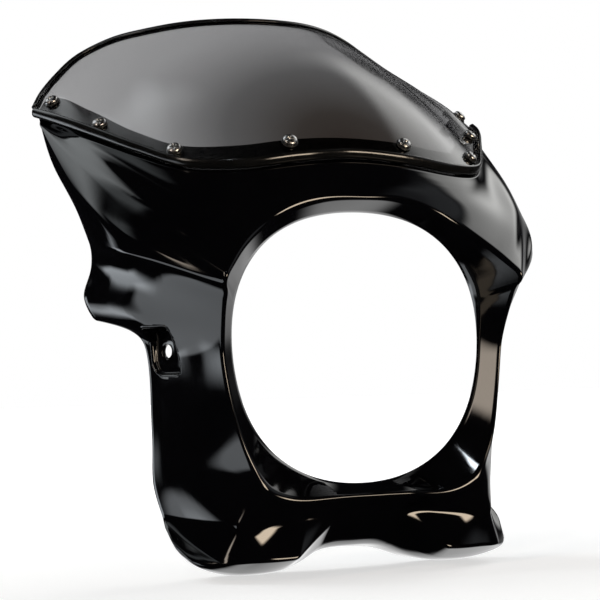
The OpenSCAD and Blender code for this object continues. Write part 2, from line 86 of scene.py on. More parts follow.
# Each station has its angle round the hole, six points from the rim outwards (0 stands for
# a point that the flange gives), the folds along the ring at the rim and these points, the
# folds along the station, and the steps to the next station.
STATIONS = [
    (0, (0, -22, 105.5), (0, -17, 114), (0, -10, 125), (0, -4, 133.5), 0, 0, BROW, FLAT, 3),
    (15, (28, -20, 104.7), (32, -17, 113), (37, -11, 123), (42, -6, 130.5), 0, 0, BROW, FLAT, 3),
    (27, (50, -17, 99.7), (60, -14, 108), (71, -7, 118), (82, 2, 126), 0, 0, BROW, FLAT, 2),
    (36, (67, -16, 93), (84, -8, 104), (102, 8, 117), (118, 27, 128.5), 0, 0, BROW, FLAT, 2),
    (45, (83, -20, 82.5), (103, -4, 98), (124, 27, 118), (142, 63, 142.5), 0, 0, BROW, FLAT, 2),
    (54, (98, -28, 69.5), (119, -5, 89), (141, 38, 116), (163, 100, 158), 0, 0, BROW, FLAT, 2),
    (60.5, (106.5, -34.5, 60), (128, -11, 80), (150, 30, 109), (172.5, 124, 167), 0, 0,
     BROW, [0, 0, .5, .5, .5, .3, 0], 1),
    (63.5, (111, -38, 55), (131, -10, 76), (155, 32, 107), (180.5, 143, 173.5), 0, 0, BROW, FLAT, 2),
    (66, (115, -41, 50), (136, -8, 73), (161, 37, 104), (191, 159, 179.5), 0, 0,
     BROW, [0, .5, 1, 1, 1, 1, 1], 2),
    (67.5, (115.6, -40, 47), (138, -7, 67), (168, 40, 94), (184, 96, 125), (187.5, 115, 135),
     (189, 130, 144), SIDE, FLAT, 2),
    (69, (115.6, -39, 45), (135, -14, 59), (161, 20, 78), (175, 51, 92), (179, 80, 101),
     (180.5, 100, 110), SIDE, FLAT, 2),
    (70.5, (115.5, -38, 43), (133, -18, 53), (154, 10, 64), (169.5, 36, 72), (174.5, 61, 77),
     (174, 87, 81), SIDE, [0, 0, 1, 1, 1, 1, 1], 1),
    (71.5, (113.5, -35.5, 41.5), (130.5, -16, 50), (150, 10.5, 59.5), (164.5, 37, 67),
     (170, 62, 71.5), (172.5, 88, 75.5), SIDE, FLAT, 2),
    (74, (112.5, -29, 32), (128, -9, 38), (144, 15, 45), (158, 43, 52), (166, 65, 56),
     (173, 90, 60), SIDE, FLAT, 2),
    (79, (111.8, -23.5, 21), (127, 0, 27), (144, 27, 33), (160, 54, 38), (169, 72, 41),
     (179, 91, 43), SIDE, FLAT, 2),
    (83, (111, -19.5, 12), (124, 3, 15), (138, 26, 18), (151, 46, 20.5), (160, 66, 23),
     (171, 90, 25), SIDE, [0, 0, 0, 0, 0, .5, .8], 2),
    (89, (110.5, -15.5, 0), (118, 4, 0), (126, 22, 0), (133, 40, 0), (137, 52, 6),
     (144, 62, 12.5), SIDE, FLAT, 2),
    (98, (109, -15, -15), (116, 4, -15), (123, 21, -15), (130, 38, -14), (135, 50, -13),
     (139.5, 60, -12), SIDE, FLAT, 2),
    (112, (104, -17, -44), (113, 2, -44), (121.5, 21, -44), (129.5, 38, -44), (134.5, 50, -44),
     (139, 60, -44), SIDE, FLAT, 2),
    (124, (98, -20, -68), (108.5, -1, -69), (119, 18, -70), (128, 36, -70), (134, 49, -70.5),
     (138.5, 60, -71), SIDE, FLAT, 2),
    (134, (90, -21, -86), (102, -4, -89), (113.5, 14, -91), (125, 33, -93), (132, 48, -94.5),
     (138.2, 62.5, -95.5), SIDE, FLAT, 2),
    (140, (83, -22, -96.5), (92, -16, -110), (101, -8, -123), (112, 17, -121.5),
     (122, 40, -120.5), (132.5, 58, -119.5), [0, 1, 0, 1, 0, 0, 0], [0, 0, .3, 1, 1, 1, 1], 1),
    (143, (79, -21, -99.5), (87, -16, -112), (97, -11, -124.5), (112, 2, -147.5),
     (123, 30, -136), (133, 55, -123), KEEL, [0, 0, 0, .3, 1, .6, .3], 1),
    (146, (74, -20.5, -102.5), (81, -15, -113), (90, -12.5, -124), (108, -4, -149),
     (126.5, 12, -150), (135, 31, -137.5), KEEL, FLAT, 2),
    (151, (62, -20, -106), (69, -15, -114), (77, -12, -123), (90, -13, -148),
     (99, 10, -158.5), (107, 48, -158), KEEL, FLAT, 2),
    (156, (50, -20.5, -107), (56, -14, -114.5), (62, -10, -121.5), (72, -17, -148),
     (78, 6, -159), (82, 48, -161), KEEL, FLAT, 2),
    (160, (40, -21, -106.5), (45, -14, -114), (49, -8, -120), (59, -18, -147.5),
     (60, 6, -157.5), (60, 48, -160), KEEL, [0, 0, 0, 1, 1, 0, 0], 2),
    (165, (28, -22, -106), (31, -14, -113), (34, -7, -119), (41, -9, -135),
     (43, 8, -151), (44, 46, -156), KEEL, FLAT, 2),
    (170, (18, -22, -105.7), (21, -14, -113), (24, -6, -120), (26, -4, -124.5),
     (28, 12, -143.5), (28, 45, -150), KEEL, [0, 0, 0, 0, 1, 0, 0], 3),
    (180, (0, -22, -105.5), (0, -14, -114), (0, -5.5, -121.5), (0, -4, -124.5),
     (0, 14, -142), (0, 45, -147.5), KEEL, FLAT, 0),
]
# Each line up the windscreen has its base point, its top point, the share of its height
# that the flange backs, and its share of the bulge.
SHEET_LINES = [
    ((0, 2, 141), (0, 158, 270), .095, 1),
    ((42, -1, 137.5), (33, 164, 270), .10, 1),
    ((82, 6.5, 132.8), (62, 181, 269.5), .105, .85),
    ((118, 31, 135.7), (88, 200, 266.5), .11, .65),
    ((141, 66, 150), (112, 219, 261.5), .14, .43),
    ((162.5, 104, 166.5), (137, 225, 249), .25, .35),
    ((173.5, 124, 175), (163, 209, 227), .47, .35),
    ((183, 144, 182.5), (178, 196, 211), .8, .2),
    ((191, 166, 189.5), (190, 177, 195.5), .7, .05),
]
RING_STEPS = [2, 2, 4, 3, 1, 3]
SHEET_STEPS = [3, 3, 3, 3]
COLUMN_STEPS = [station[9] for station in STATIONS[:-1]]
FINE = 12
RING_FILLETS = [0, 3.2, 3, 2.4, 1, 0]
RING_COUNTS = [5, 14, 8, 2, 6]
FOLD_FILLET = 2.6
MIRROR = np.array([-1.0, 1, 1])


def unit(vectors):
    """Vectors along the last axis, brought to length 1."""
    return vectors / np.maximum(np.linalg.norm(vectors, axis=-1, keepdims=True), 1e-9)


def with_ends(points, before, after):
    """Points with one more at each end, which goes straight on where none is given."""
    before = 2 * points[0] - points[1] if before is None else before
    after = 2 * points[-1] - points[-2] if after is None else after
    return np.concatenate([before[None], points, after[None]])


def strands(points, folds, steps, before=None, after=None):
    """Cubic curves through points along axis 0, from each point's place and tangent. A
    tangent is the mean of the two chords' directions, each weighted by the other's
    length; a fold of 1 takes the chord itself, on each side."""
    chords = np.diff(with_ends(points, before, after), axis=0)
    length = np.linalg.norm(chords, axis=-1, keepdims=True)
    heading = chords / np.maximum(length, 1e-6)
    smooth = (heading[:-1] * length[1:] + heading[1:] * length[:-1]) / (length[:-1] + length[1:])
    fold = np.asarray(folds, float)[..., None]
    leaving = smooth + (heading[1:] - smooth) * fold
    coming = smooth + (heading[:-1] - smooth) * fold
    curves = [points[:1]]
    for i, count in enumerate(steps):
        t = (np.arange(1, count + 1) / count).reshape(-1, 1, 1)
        curves.append(points[i] * (2 * t**3 - 3 * t**2 + 1)
                      + leaving[i] * length[i + 1] * (t**3 - 2 * t**2 + t)
                      + points[i + 1] * (3 * t**2 - 2 * t**3)
                      + coming[i + 1] * length[i + 1] * (t**3 - t**2))
    return np.concatenate(curves)


def along(net, ring_folds, station_folds, ring_steps, column_steps, closed_below):
    """net[station, point] drawn out along the stations, then across them."""
    rows = strands(net.transpose(1, 0, 2), ring_folds.T, ring_steps)
    knots = np.concatenate([[0], np.cumsum(ring_steps)])
    spread = np.array([np.interp(np.arange(len(rows)), knots, folds) for folds in station_folds])
    below = rows[:, -2] * MIRROR if closed_below else None
    return strands(rows.transpose(1, 0, 2), spread, column_steps, rows[:, 1] * MIRROR, below)


def outward(grid, closed_below=False):
    """Mean direction of the four cells round each point of a grid whose first column,
    and with closed_below also its last, lies on the mirror plane."""
    last = grid[-2:-1] * MIRROR if closed_below else 2 * grid[-1:] - grid[-2:-1]
    wide = np.concatenate([grid[1:2] * MIRROR, grid, last])
    inner_side = 2 * wide[:, :1] - wide[:, 1:2]
    outer_side = 2 * wide[:, -1:] - wide[:, -2:-1]
    wide = np.concatenate([inner_side, wide, outer_side], axis=1)
    sideways = (wide[2:, 1:-1] - grid, grid - wide[:-2, 1:-1])
    upwards = (wide[1:-1, 2:] - grid, grid - wide[1:-1, :-2])
    return unit(sum(unit(np.cross(a, b)) for a in sideways for b in upwards))


def rim(angle):
    """A point of the slightly squared lamp hole, by its angle from the top."""
    a = np.radians(angle)
    r = HOLE_R * (1 - 0.0214 * np.cos(4 * a) + 0.007 * np.cos(a) - 0.011 * np.cos(3 * a))
    return np.array([r * np.sin(a), 0, r * np.cos(a)])


# The windscreen's front face comes first, because the flange lies behind it. Its bulge is
# a parabola over the share of its height.
base = np.array([line[0] for line in SHEET_LINES], float)
top = np.array([line[1] for line in SHEET_LINES], float)
backed = np.array([line[2] for line in SHEET_LINES])
free = 1 - backed
bulge = SHEET_BULGE * np.array([line[3] for line in SHEET_LINES])
spine = np.concatenate([base[1:2] * MIRROR, base, 2 * base[-1:] - base[-2:-1]])
lift = unit(np.cross(spine[2:] - spine[:-2], top - base))
share = np.stack([0 * backed, backed, backed + free / 3, backed + 2 * free / 3, 1 + 0 * backed], 1)
sheet_net = (base[:, None] + (top - base)[:, None] * share[..., None]
             + lift[:, None] * (4 * share * (1 - share) * bulge[:, None])[..., None])
no_folds = np.zeros(sheet_net.shape[:2])
sheet_steps = [count * FINE for count in COLUMN_STEPS[:len(SHEET_LINES) - 1]]
sheet_half = along(sheet_net, no_folds, no_folds, [count * FINE for count in SHEET_STEPS],
                   sheet_steps, False)
sheet_out = outward(sheet_half)
flange = SHEET + SHEET_GAP

net = []
for k, station in enumerate(STATIONS):
    points = [rim(station[0])] + [np.array(point, float) if point else None for point in station[1:7]]
    if k < len(SHEET_LINES):
        column = sum(sheet_steps[:k])
        for place, row in ((5, 0), (6, SHEET_STEPS[0] * FINE)):
            points[place] = sheet_half[column, row] - sheet_out[column, row] * flange
    net.append(points)
ring_folds = np.array([station[7] for station in STATIONS], float)
station_folds = np.array([station[8] for station in STATIONS], float)
coarse = along(np.array(net), ring_folds, station_folds, RING_STEPS, COLUMN_STEPS, True)


def spline(points, folds, count, before=None, after=None):
    """Uniform cubic B-spline along axis 0, cut into count parts a span. A fold of 1
    mirrors a span's outer neighbour in the fold, so the curve turns sharply there."""
    p = with_ends(points, before, after)
    fold = np.asarray(folds, float)[..., None]
    t = (np.arange(1, count + 1) / count).reshape(-1, 1, 1)
    curves = []
    for i in range(len(points) - 1):
        a = p[i] + (2 * p[i + 1] - p[i + 2] - p[i]) * fold[i]
        d = p[i + 3] + (2 * p[i + 2] - p[i + 1] - p[i + 3]) * fold[i + 1]
        if i == 0:
            curves.append(((a + 4 * p[1] + p[2]) / 6)[None])
        curves.append((a * (1 - t)**3 + p[i + 1] * (3 * t**3 - 6 * t**2 + 4)
                       + p[i + 2] * (-3 * t**3 + 3 * t**2 + 3 * t + 1) + d * t**3) / 6)
    return np.concatenate(curves)


# The folds of both kinds are spread over the steps between the stations and points, and
# a ring fold keeps its place only at its own point.
column_knots = np.concatenate([[0], np.cumsum(COLUMN_STEPS)])
ring_knots = np.concatenate([[0], np.cumsum(RING_STEPS)])
every_column = np.arange(coarse.shape[0])
every_point = np.arange(coarse.shape[1])
across = np.zeros(coarse.shape[:2])
for k, row in enumerate(ring_knots):
    across[:, row] = np.interp(every_column, column_knots, ring_folds[:, k])
across[:, [0, -1]] = 1
down = np.zeros(coarse.shape[:2])
for k, column in enumerate(column_knots):
    down[column] = np.interp(every_point, ring_knots, station_folds[k])
rows = spline(coarse.transpose(1, 0, 2), across.T, FINE)
fine_down = np.array([np.interp(np.arange(len(rows)) / FINE, every_point, folds) for folds in down])
skin = spline(rows.transpose(1, 0, 2), fine_down, FINE, rows[:, 1] * MIRROR, rows[:, -2] * MIRROR)

# Over the brow the skin runs straight from its edge to the flange, which lies one sheet
# and one gap behind the windscreen's face.
edge_row = ring_knots[4] * FINE
root_row = ring_knots[5] * FINE
brow = skin[:len(sheet_half)]
flange_rows = skin.shape[1] - root_row
brow[:, root_row:] = sheet_half[:, :flange_rows] - sheet_out[:, :flange_rows] * flange
t = np.linspace(0, 1, root_row - edge_row + 1)[:, None]
brow[:, edge_row:root_row + 1] = (brow[:, edge_row:edge_row + 1] * (1 - t)
                                  + brow[:, root_row:root_row + 1] * t)


def filleted(grid, knots, widths, counts):
    """grid resampled along axis 0, with a small arc in place of each inner knot.

    An arc is the parabola (1-t)^2 a + 2t(1-t) b + t^2 c from the point a, one width
    before the knot b, to the point c, one width after it. A point 1.3 widths off on
    each side keeps the shading of the flat beside the arc even."""
    length = np.linalg.norm(np.diff(grid, axis=0), axis=-1)
    travel = np.concatenate([np.zeros((1, grid.shape[1])), np.cumsum(length, axis=0)])
    index = np.arange(len(grid))
    last = len(knots) - 1
    arc = [0 < k < last and widths[k] > 0 for k in range(last + 1)]
    lines = []
    for j in range(grid.shape[1]):
        at = travel[knots, j]
        room = 0.34 * np.diff(at)
        width = np.array([min(widths[k], *room[max(k - 1, 0):k + 1]) for k in range(last + 1)])
        hold = np.where(arc, 1.3 * width, 0)
        spot, start, stop, near, far = (np.interp(at + shift, travel[:, j], index)
                                        for shift in (0, -width, width, -hold, hold))
        place = []
        for k in range(last + 1):
            place += [near[k], start[k], -1, -1, -1, stop[k], far[k]] if arc[k] else [spot[k]]
            if k < last:
                place += list(np.interp(np.arange(1, counts[k]), [0, counts[k]], [far[k], near[k + 1]]))
        place = np.array(place)
        line = np.stack([np.interp(place, index, grid[:, j, c]) for c in range(3)], -1)
        for i in np.flatnonzero(place < 0)[::3]:
            knot = knots[np.argmin(np.abs(knots - (place[i - 1] + place[i + 3]) / 2))]
            a, b, c = line[i - 1], grid[knot, j], line[i + 3]
            for step, t in enumerate((0.25, 0.5, 0.75)):
                line[i + step] = (1 - t)**2 * a + 2 * t * (1 - t) * b + t**2 * c
        lines.append(line)
    return np.stack(lines, 1)


skin = filleted(skin.transpose(1, 0, 2), ring_knots[[0, 1, 3, 4, 5, 6]] * FINE, RING_FILLETS,
                RING_COUNTS).transpose(1, 0, 2)
ends = (0, len(STATIONS) - 1)
folded = [k for k, station in enumerate(STATIONS) if any(station[8]) or k in ends]
folded_knots = column_knots[folded] * FINE
skin = filleted(skin, folded_knots, [0 if k in ends else FOLD_FILLET for k in folded],
                [max(3, int(round(gap * 0.36))) for gap in np.diff(folded_knots)])
whole = np.concatenate([skin, (skin * MIRROR)[-2:0:-1]])


def soft(field, rounds):
    """A closed ring of vectors averaged with its neighbours again and again."""
    for _ in range(rounds):
        field = (np.roll(field, 1, 0) + 2 * field + np.roll(field, -1, 0)) / 4
        wide = np.concatenate([field[:, :1], field, field[:, -1:]], axis=1)
        field = (wide[:, :-2] + 2 * field + wide[:, 2:]) / 4
    return unit(field)


facing = outward(skin, True)
facing = np.concatenate([facing, (facing * MIRROR)[-2:0:-1]])
inside = whole - soft(facing, 10) * WALL


def mesh_object(name, points, faces, smooth=True):
    """A mesh in metres, from points in millimetres."""
    mesh = bpy.data.meshes.new(name)
    metres = (np.asarray(points) / 1000).tolist()
    mesh.from_pydata([tuple(point) for point in metres], [], [tuple(face) for face in faces])
    mesh.validate()
    if smooth:
        mesh.polygons.foreach_set("use_smooth", [True] * len(mesh.polygons))
    mesh.update()
    piece = bpy.data.objects.new(name, mesh)
    scene.collection.objects.link(piece)
    return piece


def loop_faces(columns, rows, ring_columns, ring_rows):
    """Quads of a grid of points, closed along either axis."""
    i, j = np.meshgrid(np.arange(columns if ring_columns else columns - 1),
                       np.arange(rows if ring_rows else rows - 1), indexing="ij")
    i_next = (i + 1) % columns
    j_next = (j + 1) % rows
    corners = [i * rows + j, i_next * rows + j, i_next * rows + j_next, i * rows + j_next]
    return np.stack(corners, -1).reshape(-1, 4)


def rounded_sheet(front, back, height):
    """Loops round a sheet's section: front, a round edge, back, a round edge."""
    def edge(last_front, last_back, next_front):
        beyond = unit(last_front - next_front)
        middle = (last_front + last_back) / 2
        half = (last_front - last_back) / 2
        return [middle + half * math.cos(a) + beyond * height * math.sin(a)
                for a in np.radians([35, 65, 90, 115, 145])]
    outer = edge(front[:, -1], back[:, -1], front[:, -2])
    inner = edge(front[:, 0], back[:, 0], front[:, 1])
    return np.concatenate([front, np.stack(outer, 1), back[:, ::-1], np.stack(inner[::-1], 1)], axis=1)


section = rounded_sheet(whole, inside, EDGE_HEIGHT)
shell = mesh_object("shell", section.reshape(-1, 3), loop_faces(*section.shape[:2], True, True))
shell_tree = BVHTree.FromPolygons([tuple(point) for point in whole.reshape(-1, 3)],
                                  [tuple(face) for face in loop_faces(*whole.shape[:2], True, False)])


def material(name, colour, roughness, **sockets):
    """A new material, its node tree and its shader; sockets set the shader's inputs."""
    made = bpy.data.materials.new(name)
    made.use_nodes = True
    shader = made.node_tree.nodes["Principled BSDF"]
    shader.inputs["Base Color"].default_value = (*colour, 1)
    shader.inputs["Roughness"].default_value = roughness
    for key, value in sockets.items():
        shader.inputs[key.replace("_", " ")].default_value = value
    return made, made.node_tree, shader


def noise(tree, scale, detail):
    """Noise in the object's own coordinates, so that it stays on the part."""
    where = tree.nodes.new("ShaderNodeTexCoord")
    pattern = tree.nodes.new("ShaderNodeTexNoise")
    pattern.inputs["Scale"].default_value = scale
    pattern.inputs["Detail"].default_value = detail
    pattern.inputs["Roughness"].default_value = 0.6
    tree.links.new(where.outputs["Object"], pattern.inputs["Vector"])
    return pattern.outputs["Fac"]


def ranged(tree, field, low, high):
    """The middle part of a noise, from 0.35 to 0.65, drawn out from low to high."""
    node = tree.nodes.new("ShaderNodeMapRange")
    node.inputs["From Min"].default_value = 0.35
    node.inputs["From Max"].default_value = 0.65
    node.inputs["To Min"].default_value = low
    node.inputs["To Max"].default_value = high
    tree.links.new(field, node.inputs["Value"])
    return node.outputs["Result"]


def tinted(tree, field, dark, pale):
    """A colour between dark and pale, where the noise says."""
    node = tree.nodes.new("ShaderNodeMix")
    node.data_type = "RGBA"
    node.inputs["A"].default_value = (*dark, 1)
    node.inputs["B"].default_value = (*pale, 1)
    tree.links.new(ranged(tree, field, 0, 1), node.inputs["Factor"])
    return node.outputs["Result"]


def bumped(tree, field, strength, distance, shader):
    """A fine bump on a shader's normal."""
    node = tree.nodes.new("ShaderNodeBump")
    node.inputs["Strength"].default_value = strength
    node.inputs["Distance"].default_value = distance
    tree.links.new(field, node.inputs["Height"])
    tree.links.new(node.outputs["Normal"], shader.inputs["Normal"])


gelcoat, tree, shader = material("gloss_black_gelcoat", (0.004, 0.004, 0.006), 0.05, Coat_Weight=0.0)
gloss = tinted(tree, noise(tree, 9, 3), (0.0012, 0.0012, 0.0018), (0.0025, 0.0025, 0.0035))
tree.links.new(gloss, shader.inputs["Base Color"])
tree.links.new(ranged(tree, noise(tree, 60, 5), 0.035, 0.075), shader.inputs["Roughness"])
bumped(tree, noise(tree, 160, 2), 0.02, 0.0003, shader)

# Bracket pockets
# A cup sunk in each flank, moulded with the shell, whose floor has the hole for the bolt
# of the lamp's bracket. The panel is cut open here, and also where the nuts stand.
UP = np.array([0, 0, 1.0])
POCKET_W = 27.0
POCKET_H = 33.0
POCKET_DEPTH = 5.0
BOLT_R = 5.0
BOLT_X = 3.0
LOOP_POINTS = 120
NUT_HOLE_R = 4.8
pocket_origin = np.array([133.617, 42.282, 0.471])
pocket_out = unit(np.array([0.92115, -0.38921, 0]))
pocket_x = np.cross(UP, pocket_out)


def pocket_outline(grow, per_corner=14):
    """A rectangle with round corners, the lower rear one much rounder than the rest."""
    w = POCKET_W / 2 + grow
    h = POCKET_H / 2 + grow
    small = max(4 + grow, 0.4)
    big = max(10 + grow, 0.4)
    arcs = []
    for x, y, r, start in ((w - small, h - small, small, 0), (-w + small, h - small, small, 90),
                           (-w + small, -h + small, small, 180), (w - big, -h + big, big, 270)):
        a = np.radians(start + np.linspace(0, 90, per_corner))
        arcs.append(np.stack([x + r * np.cos(a), y + r * np.sin(a)], -1))
    return np.concatenate(arcs)


def even(outline, count):
    """The same closed outline with evenly spaced points, from the +x side on."""
    loop = np.concatenate([outline, outline[:1]])
    travel = np.concatenate([[0], np.cumsum(np.linalg.norm(np.diff(loop, axis=0), axis=1))])
    spots = np.linspace(0, travel[-1], count, endpoint=False)
    loop = np.stack([np.interp(spots, travel, loop[:, k]) for k in range(2)], -1)
    first = int(np.argmin(np.abs(np.arctan2(loop[:, 1], loop[:, 0]))))
    return np.roll(loop, -first, axis=0)


def circle(r, count, x=0.0):
    """A circle's points, with its centre at x."""
    a = np.arange(count) * 2 * np.pi / count
    return np.stack([x + r * np.cos(a), r * np.sin(a)], -1)


def pocket_loop(grow):
    """One evenly spaced loop round the cup, grown by so much."""
    return even(pocket_outline(grow), LOOP_POINTS)


def level_loop(outline, height):
    """An outline [x, y] with one height for all its points."""
    return np.column_stack([outline, np.full(len(outline), height)])


def panel_height(outline):
    """How far the panel stands out of the pocket's mouth at each point of an outline."""
    heights = []
    for x, y in outline:
        start = pocket_origin + pocket_x * x + UP * y + pocket_out * 40
        hit = shell_tree.ray_cast(Vector(start), Vector(-pocket_out), 80)
        heights.append(40 - hit[3] if hit[0] is not None else 0.0)
    return np.array(heights)


# The panel rolls over a 2 mm edge and down a wall with draft to a flat floor with the
# bolt's hole in it, and the cup's back is one wall thickness behind. The first loops have
# their outline's growth, their depth, and how far they follow the panel's own height.
sinking = [(2.05 - 2.05 * math.sin(a), 2.0 * (1 - math.cos(a)) + 0.01, 1.0)
           for a in (k * math.pi / 12 for k in range(7))]
sinking.append((-0.3, 3.4, 0.4))
sinking += [(-0.5 - 1.2 * (1 - math.cos(a)), 3.8 + 1.2 * math.sin(a), 0.0)
            for a in (k * math.pi / 8 for k in range(5))]
lip = panel_height(pocket_loop(2.05))
loops = [np.column_stack([pocket_loop(grow), np.clip(lip * follow - depth, -POCKET_DEPTH, None)])
         for grow, depth, follow in sinking]
bolt_edge = circle(BOLT_R + 0.4, LOOP_POINTS, BOLT_X)
loops += [level_loop(pocket_loop(-1.7) * (1 - t) + bolt_edge * t, -POCKET_DEPTH) for t in (0.35, 0.7, 1.0)]
bolt = circle(BOLT_R, LOOP_POINTS, BOLT_X)
cup_back = -POCKET_DEPTH - WALL
loops += [level_loop(bolt, -POCKET_DEPTH - 0.4),
          level_loop(bolt, cup_back + 0.2),
          level_loop(circle(BOLT_R + 0.2, LOOP_POINTS, BOLT_X), cup_back),
          level_loop(pocket_loop(2.0) * 0.6 + bolt * 0.4, cup_back),
          level_loop(pocket_loop(2.0), cup_back),
          level_loop(pocket_loop(2.5), cup_back + 0.5),
          np.column_stack([pocket_loop(2.5), lip - 2.2])]
cup = np.array(loops)
cup = pocket_origin + cup[..., :1] * pocket_x + cup[..., 1:2] * UP + cup[..., 2:] * pocket_out
cup_faces = loop_faces(len(cup), LOOP_POINTS, True, True)
cups = mesh_object("bracket_pockets", np.concatenate([cup.reshape(-1, 3), (cup * MIRROR).reshape(-1, 3)]),
                   np.concatenate([cup_faces, len(cup) * LOOP_POINTS + cup_faces[:, ::-1]]))


def prism(outline, axes, low, high):
    """A closed prism on an outline [x, y], in axes [origin, x, y, out]."""
    origin, x, y, out = axes
    points = [origin + x * p[0] + y * p[1] + out * height for height in (low, high) for p in outline]
    count = len(outline)
    walls = [(i, (i + 1) % count, count + (i + 1) % count, count + i) for i in range(count)]
    return points, walls + [tuple(range(count))[::-1], tuple(range(count, 2 * count))]


def joined(forms):
    """The points and faces of several closed forms, as those of one."""
    points, faces = [], []
    for form_points, form_faces in forms:
        faces += [tuple(i + len(points) for i in face) for face in form_faces]
        points += list(form_points)
    return points, faces


def cut(target, forms, name):
    """Cuts closed forms out of a piece by an exact boolean, and keeps the result."""
    tool = mesh_object(name, *joined(forms), smooth=False)
    modifier = target.modifiers.new("cut", "BOOLEAN")
    modifier.object = tool
    modifier.operation = "DIFFERENCE"
    modifier.solver = "EXACT"
    graph = bpy.context.evaluated_depsgraph_get()
    fresh = bpy.data.meshes.new_from_object(target.evaluated_get(graph))
    target.modifiers.clear()
    old = target.data
    target.data = fresh
    bpy.data.meshes.remove(old)
    bpy.data.objects.remove(tool)
    fresh.polygons.foreach_set("use_smooth", [True] * len(fresh.polygons))


def between(grid, u, v):
    """A point of a grid at a place between its columns and rows."""
    i = min(int(u), len(grid) - 2)
    j = min(int(v), grid.shape[1] - 2)
    a, b = u - i, v - j
    return ((grid[i, j] * (1 - a) + grid[i + 1, j] * a) * (1 - b)
            + (grid[i, j + 1] * (1 - a) + grid[i + 1, j + 1] * a) * b)


# Where each screw sits, in steps along and up the windscreen, on both halves. A seat is
# [origin on the windscreen's face, along it, up it, out of it].
SCREWS = [(3.3, 2.0), (8.3, 1.45), (11.7, 1.1), (14.8, 1.7)]
seats = []
for u, v in SCREWS:
    u *= FINE
    v *= FINE
    spot = between(sheet_half, u, v)
    side = unit(between(sheet_half, u + 1, v) - between(sheet_half, u - 1, v))
    out = unit(np.cross(side, between(sheet_half, u, v + 1) - between(sheet_half, u, v - 1)))
    rise = np.cross(out, side)
    seats += [[spot, side, rise, out], [spot * MIRROR, -side * MIRROR, rise * MIRROR, out * MIRROR]]

mouth = even(pocket_outline(2.0), 96)
mouths = [prism(mouth, [pocket_origin, pocket_x, UP, pocket_out], -9, 16),
          prism(mouth[::-1], [pocket_origin * MIRROR, pocket_x * MIRROR, UP, pocket_out * MIRROR], -9, 16)]
nut_holes = [prism(circle(NUT_HOLE_R, 40), seat, -flange - WALL - 4, -flange + 2) for seat in seats]
cut(shell, mouths + nut_holes, "shell_tools")

for piece in (shell, cups):
    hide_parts("fairing_shell")
    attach(piece, "root")
    piece.data.materials.clear()
    piece.data.materials.append(gelcoat)

# Windscreen
# One sheet of smoked acrylic, 3 mm thick, heat formed to a bubble and drilled for eight
# screws. The smoke is graded: darkest at the middle of the base, palest along the top.
SCREW_HOLE_R = 2.8


def both(half):
    """A half on the +x side, with its mirror image before it."""
    return np.concatenate([(half * MIRROR)[:0:-1], half])


sheet_face = both(sheet_half)[::2, ::4]
sheet = rounded_sheet(sheet_face, sheet_face - both(sheet_out)[::2, ::4] * SHEET, 0.0)
columns, rows = sheet.shape[:2]
faces = [tuple(face) for face in loop_faces(columns, rows, False, True)]
faces += [tuple(range(rows))[::-1], tuple((columns - 1) * rows + k for k in range(rows))]
windscreen = mesh_object("windscreen_sheet", sheet.reshape(-1, 3), faces)
cut(windscreen, [prism(circle(SCREW_HOLE_R, 32), seat, -7, 4) for seat in seats], "screen_tools")
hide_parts("windscreen")
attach(windscreen, "root")

acrylic, tree, shader = material("smoked_acrylic", (0.2, 0.2, 0.2), 0.01, Transmission_Weight=1.0, IOR=1.3,
                                 Specular_IOR_Level=0.2)
where = tree.nodes.new("ShaderNodeTexCoord")
place = tree.nodes.new("ShaderNodeMapping")
place.inputs["Location"].default_value = (0.0, 0.0, -0.95)
place.inputs["Scale"].default_value = (5.2, 0.6, 6.6)
fade = tree.nodes.new("ShaderNodeTexGradient")
fade.gradient_type = "SPHERICAL"
ramp = tree.nodes.new("ShaderNodeValToRGB")
stops = ramp.color_ramp.elements
stops[0].position = 0.0
stops[0].color = (0.36, 0.36, 0.365, 1)
stops[1].position = 1.0
stops[1].color = (0.026, 0.02, 0.017, 1)
stops.new(0.25).color = (0.28, 0.28, 0.285, 1)
stops.new(0.55).color = (0.09, 0.089, 0.09, 1)
stops.new(0.8).color = (0.036, 0.031, 0.028, 1)
tree.links.new(where.outputs["Object"], place.inputs["Vector"])
tree.links.new(place.outputs["Vector"], fade.inputs["Vector"])
tree.links.new(fade.outputs["Fac"], ramp.inputs["Fac"])
tree.links.new(ramp.outputs["Color"], shader.inputs["Base Color"])
tree.links.new(ranged(tree, noise(tree, 220, 3), 0.004, 0.02), shader.inputs["Roughness"])
windscreen.data.materials.clear()
windscreen.data.materials.append(acrylic)

# Rubber trims
# Two extruded rubber profiles pushed over the sheet: a thin one on its top edge, and a
# fat bead on its base edge that closes the joint with the shell.
FIT = 0.3
BEHIND = -SHEET - FIT
TRIM_LAP = 4.0
TRIM_WALL = 1.5
BEAD_LAP = 1.8
BEAD_FOOT = 4.0
BEAD_FRONT = 4.5
BEAD_BACK = BEHIND - (SHEET_GAP - 3 * FIT)


def rounded(profile, passes):
    """A closed outline with its corners cut again and again, a quarter of each side at a time."""
    points = np.array(profile, float)
    for _ in range(passes):
        after = np.roll(points, -1, axis=0)
        points = np.stack([points * 0.75 + after * 0.25, points * 0.25 + after * 0.75], 1).reshape(-1, 2)
    return points


